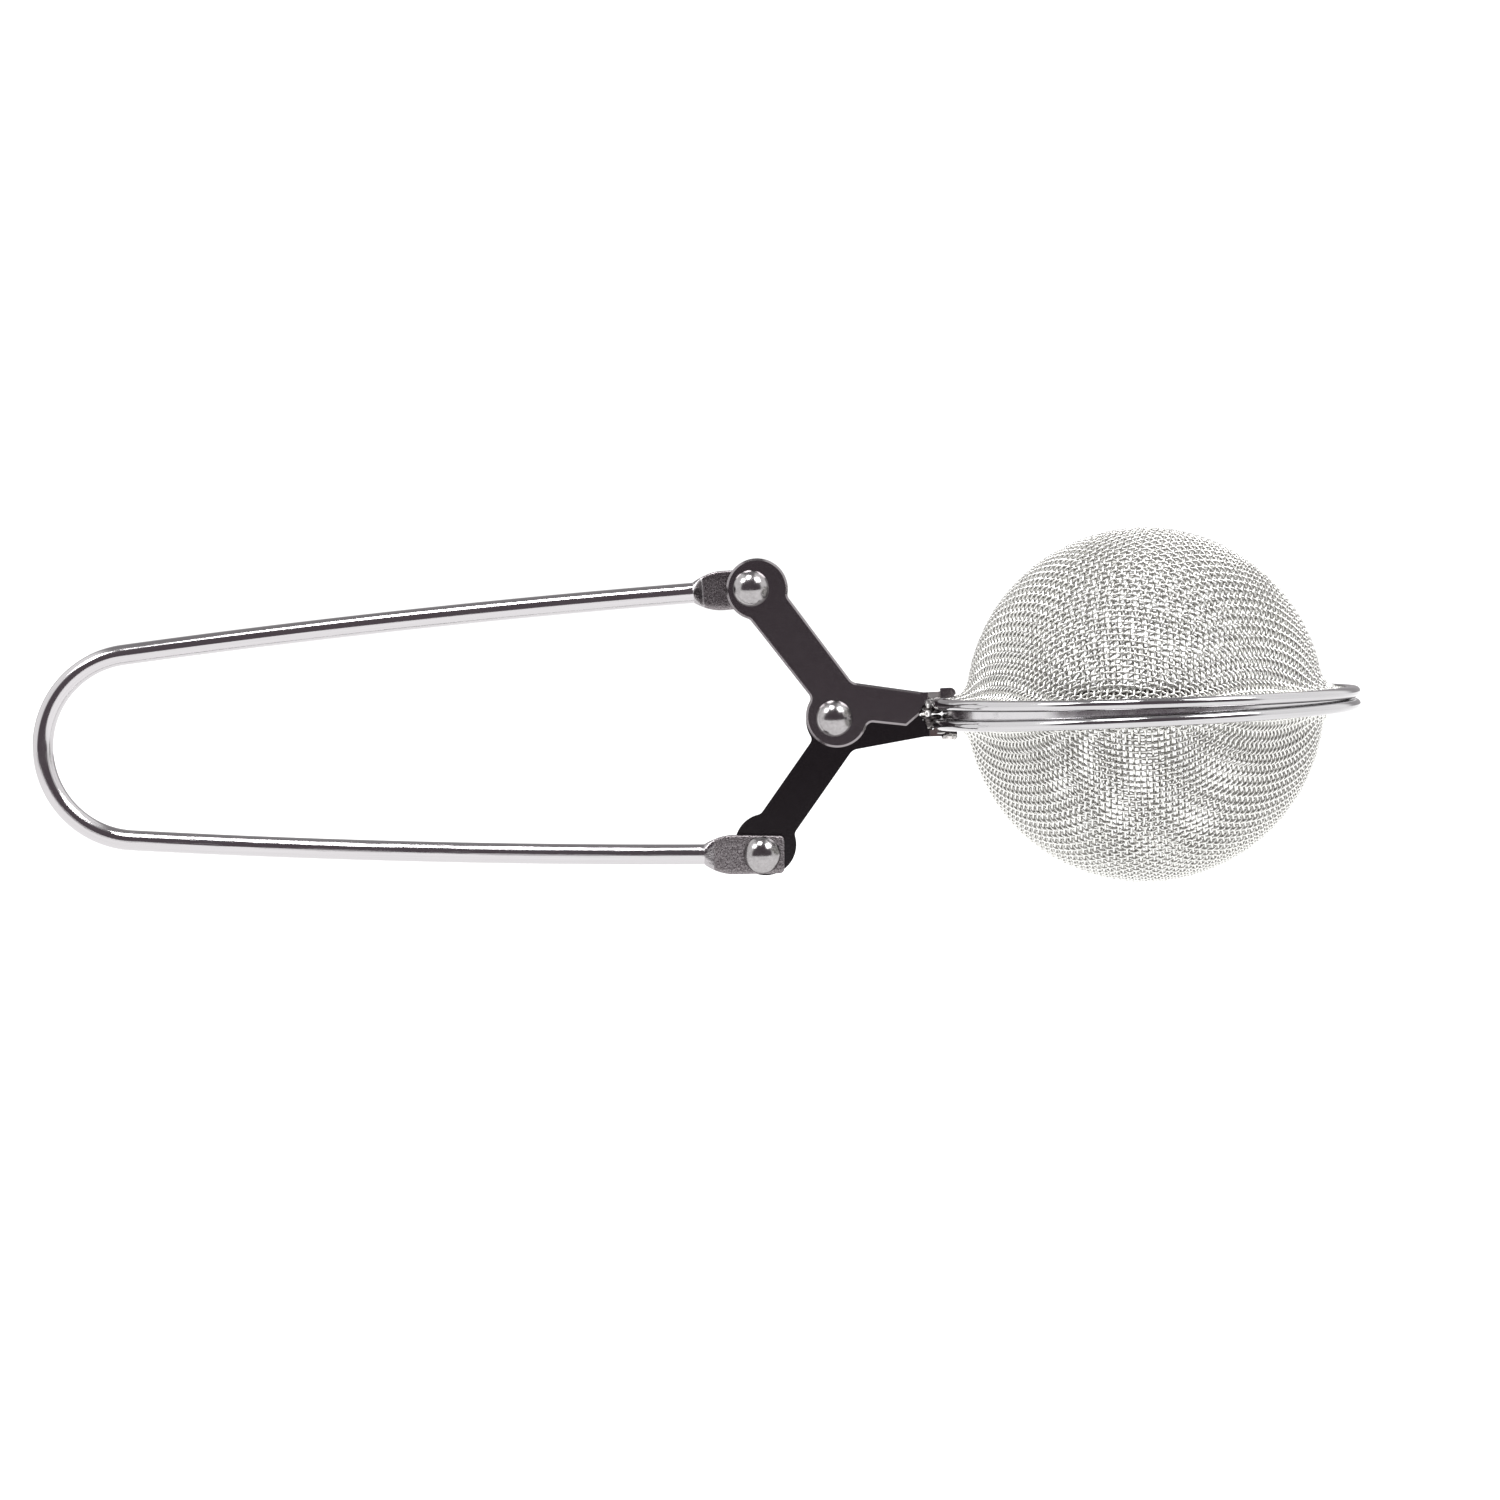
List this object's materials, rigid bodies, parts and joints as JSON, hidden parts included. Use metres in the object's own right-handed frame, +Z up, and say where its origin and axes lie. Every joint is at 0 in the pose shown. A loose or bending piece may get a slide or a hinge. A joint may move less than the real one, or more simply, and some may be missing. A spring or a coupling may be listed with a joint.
{
  "type": "tea infuser",
  "caption": "Squeeze-handle tea infuser: sprung wire handle, crossed riveted link plates and a mesh ball that opens in two halves.",
  "frame": {"origin": "centre of the handle's rear bend, where the palm holds it and where it hangs on a hook", "axes": "+X from the rear bend to the ball, +Y along the rivets away from the viewer, +Z up, the side the upper half opens to"},
  "size_m": [0.155, 0.05, 0.0412],
  "materials": {
    "handle_rod": "polished stainless steel rod, pressed and scored at its ends",
    "link_plate": "stamped stainless sheet, satin, bright sheared edges",
    "rivet": "polished domed heads",
    "ring_wire": "polished round wire",
    "rim_band": "bright rolled strip",
    "mesh": "plain-woven bright stainless wire cloth",
    "weld": "bright resistance-weld nuggets"
  },
  "bodies": {
    "handle": {"handle_bend": "handle_rod"},
    "upper_arm": {"upper_arm": "handle_rod", "upper_rivet": "rivet"},
    "lower_arm": {"lower_arm": "handle_rod", "lower_rivet": "rivet"},
    "upper_jaw": {"front_link_plate": "link_plate", "centre_rivet": "rivet", "upper_ring": "ring_wire", "upper_rim_band": "rim_band", "upper_mesh_bowl": "mesh", "upper_weld": "weld"},
    "lower_jaw": {"rear_link_plate": "link_plate", "lower_ring": "ring_wire", "lower_rim_band": "rim_band", "lower_mesh_bowl": "mesh", "lower_weld": "weld"}
  },
  "joints": [
    {"name": "upper_arm_flex", "type": "hinge", "parent": "handle", "child": "upper_arm", "pos_m": [-0.00104, 0, 0.01085], "axis": [0, 1, 0], "range_deg": [0, 7]},
    {"name": "lower_arm_flex", "type": "hinge", "parent": "handle", "child": "lower_arm", "pos_m": [-0.00104, 0, -0.01085], "axis": [0, -1, 0], "range_deg": [0, 7]},
    {"name": "upper_rivet_pivot", "type": "hinge", "parent": "upper_arm", "child": "upper_jaw", "pos_m": [0.07254, 0, 0.01555], "axis": [0, -1, 0], "range_deg": [0, 47]},
    {"name": "centre_pivot", "type": "hinge", "parent": "upper_jaw", "child": "lower_jaw", "pos_m": [0.0816, 0, 0], "axis": [0, 1, 0], "range_deg": [0, 80], "stiffness_Nm_per_rad": 0.03, "springref_deg": -20.05}
  ],
  "couplings": [
    {"joint": "upper_arm_flex", "follows": "centre_pivot", "ratio": 0.0872},
    {"joint": "lower_arm_flex", "follows": "centre_pivot", "ratio": 0.0872},
    {"joint": "upper_rivet_pivot", "follows": "centre_pivot", "ratio": 0.5872}
  ]
}
